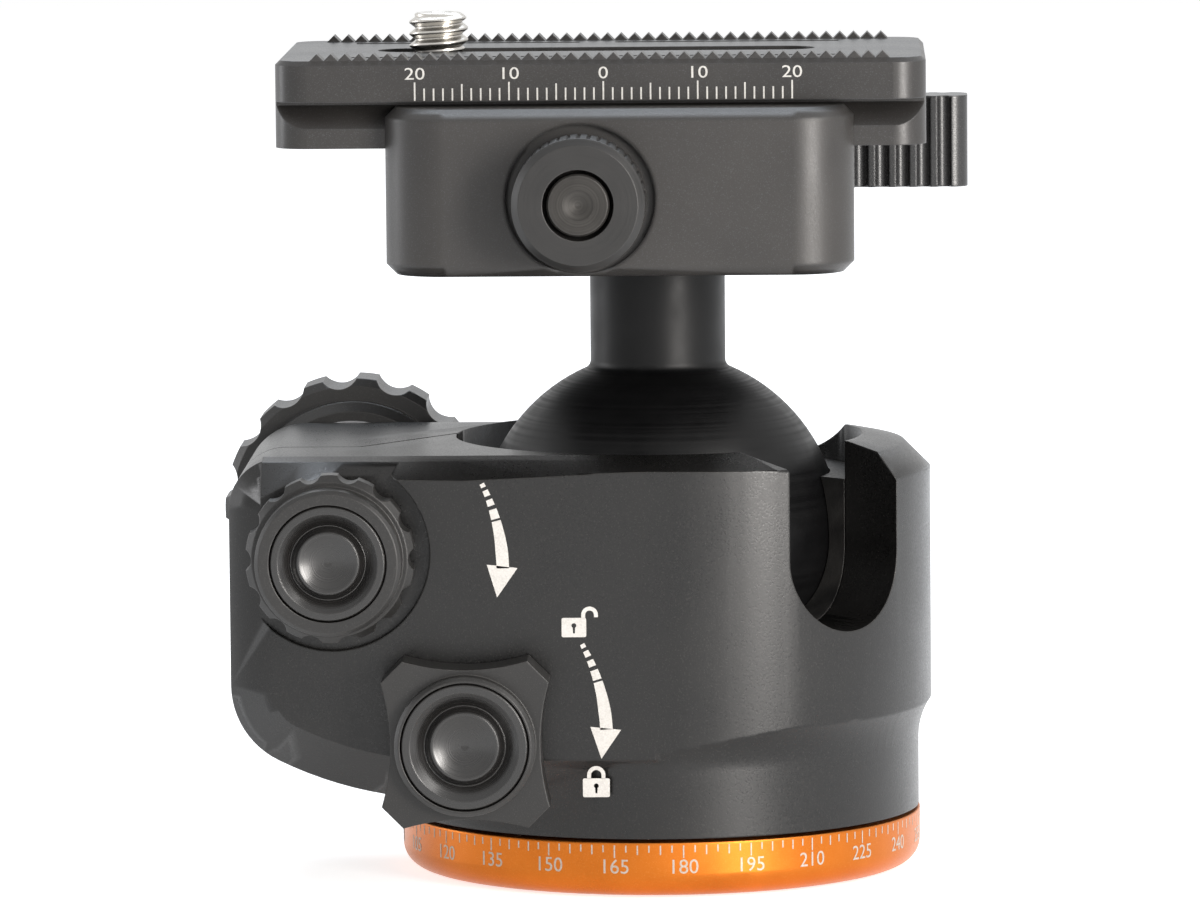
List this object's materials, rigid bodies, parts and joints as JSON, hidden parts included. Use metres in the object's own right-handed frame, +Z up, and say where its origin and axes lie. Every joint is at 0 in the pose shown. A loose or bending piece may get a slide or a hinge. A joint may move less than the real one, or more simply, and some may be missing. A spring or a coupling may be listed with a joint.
{
  "type": "tripod ball head",
  "caption": "Tripod ball head: orange panning base with degree scale, split socket with drop notch, lock knobs, stemmed ball, lever clamp and sliding quick-release plate.",
  "frame": {"origin": "middle of the base's flat underside, on the pan axis", "axes": "+X to the right of the front face, +Y from the front to the back, +Z up along the pan axis"},
  "size_m": [0.0823, 0.0728, 0.0925],
  "materials": {
    "orange_anodised": "orange anodised, satin, with an engraved degree scale",
    "black_anodised": "bead-blasted, black anodised",
    "clamp_black": "fine bead-blasted, black anodised",
    "plate_black": "black anodised with an engraved millimetre scale",
    "knob_black": "turned and scalloped, black anodised",
    "cap_black": "polished, black anodised",
    "ball_black": "hard anodised, satin",
    "steel": "turned",
    "steel_dark": "black oxide",
    "screw_steel": "turned stainless",
    "spring_steel": "drawn",
    "brass": "turned",
    "pad_rubber": "ribbed",
    "strip_rubber": "matt",
    "liner_plastic": "acetal",
    "slide_plastic": "acetal"
  },
  "bodies": {
    "base": {"base_ring": "orange_anodised", "tripod_bush": "steel", "base_pad": "pad_rubber", "pan_spindle": "steel", "spindle_screws": "steel", "retaining_nut": "steel", "thrust_washer": "slide_plastic"},
    "housing": {"housing": "black_anodised", "lower_seat": "liner_plastic", "seat_spring": "spring_steel", "socket_liner": "liner_plastic", "draw_bolt": "steel", "end_screw": "steel_dark", "lock_washer": "brass", "friction_washer": "brass", "brake_spring": "spring_steel"},
    "main_knob": {"main_knob": "knob_black", "main_knob_cap": "cap_black"},
    "friction_knob": {"friction_knob": "knob_black", "friction_knob_cap": "cap_black"},
    "pan_knob": {"pan_knob": "knob_black", "pan_knob_cap": "cap_black", "pan_screw": "steel"},
    "pan_brake": {"pan_brake": "brass"},
    "ball": {"ball": "ball_black"},
    "clamp": {"clamp_body": "clamp_black", "clamp_screw": "steel_dark", "guide_pins": "steel", "jaw_springs": "spring_steel", "draw_rod": "steel_dark"},
    "jaw": {"clamp_jaw": "clamp_black"},
    "adjuster": {"adjuster_nut": "knob_black"},
    "lever": {"clamp_lever": "clamp_black", "lever_pin": "steel"},
    "plate": {"plate": "plate_black", "plate_inlays": "strip_rubber", "stop_screws": "steel"},
    "screw_carrier": {"screw_washer": "slide_plastic"},
    "camera_screw": {"camera_screw": "screw_steel"}
  },
  "joints": [
    {"name": "pan", "type": "hinge", "parent": "base", "child": "housing", "pos_m": [0, 0, 0.0063], "axis": [0, 0, 1], "continuous": true},
    {"name": "tilt", "type": "hinge", "parent": "housing", "child": "ball", "pos_m": [0, 0, 0.0359], "axis": [0.7071, 0.7071, 0], "range_deg": [-15, 90]},
    {"name": "head_turn", "type": "hinge", "parent": "ball", "child": "clamp", "pos_m": [0, 0, 0.0658], "axis": [0, 0, 1], "continuous": true},
    {"name": "main_knob_turn", "type": "hinge", "parent": "housing", "child": "main_knob", "pos_m": [-0.034, 0.014, 0.0369], "axis": [0, 1, 0], "range_deg": [-200, 0]},
    {"name": "friction_knob_turn", "type": "hinge", "parent": "housing", "child": "friction_knob", "pos_m": [-0.034, -0.0283, 0.0369], "axis": [0, -1, 0], "range_deg": [-270, 0]},
    {"name": "pan_knob_turn", "type": "hinge", "parent": "housing", "child": "pan_knob", "pos_m": [-0.0199, -0.0283, 0.0174], "axis": [0, -1, 0], "range_deg": [-120, 0]},
    {"name": "brake_travel", "type": "slide", "parent": "housing", "child": "pan_brake", "axis": [0, 0, -1], "range_m": [0, 0.00035]},
    {"name": "lever_swing", "type": "hinge", "parent": "clamp", "child": "lever", "pos_m": [-0.0076, 0.0311, 0.0763], "axis": [0, 0, 1], "range_deg": [0, 120]},
    {"name": "jaw_travel", "type": "slide", "parent": "clamp", "child": "jaw", "axis": [0, 1, 0], "range_m": [0, 0.0022]},
    {"name": "adjuster_turn", "type": "hinge", "parent": "clamp", "child": "adjuster", "pos_m": [-0.0076, -0.025, 0.074], "axis": [0, -1, 0], "range_deg": [-180, 180]},
    {"name": "plate_slide", "type": "slide", "parent": "clamp", "child": "plate", "axis": [1, 0, 0], "range_m": [-0.0015, 0.006]},
    {"name": "screw_slide", "type": "slide", "parent": "plate", "child": "screw_carrier", "axis": [1, 0, 0], "range_m": [-0.003, 0.037]},
    {"name": "screw_turn", "type": "hinge", "parent": "screw_carrier", "child": "camera_screw", "pos_m": [-0.0234, 0, 0.0884], "axis": [0, 0, 1], "continuous": true}
  ],
  "couplings": [
    {"joint": "pan_knob_turn", "follows": "brake_travel", "rad_per_m": -5983},
    {"joint": "lever_swing", "follows": "jaw_travel", "rad_per_m": 951.98}
  ]
}
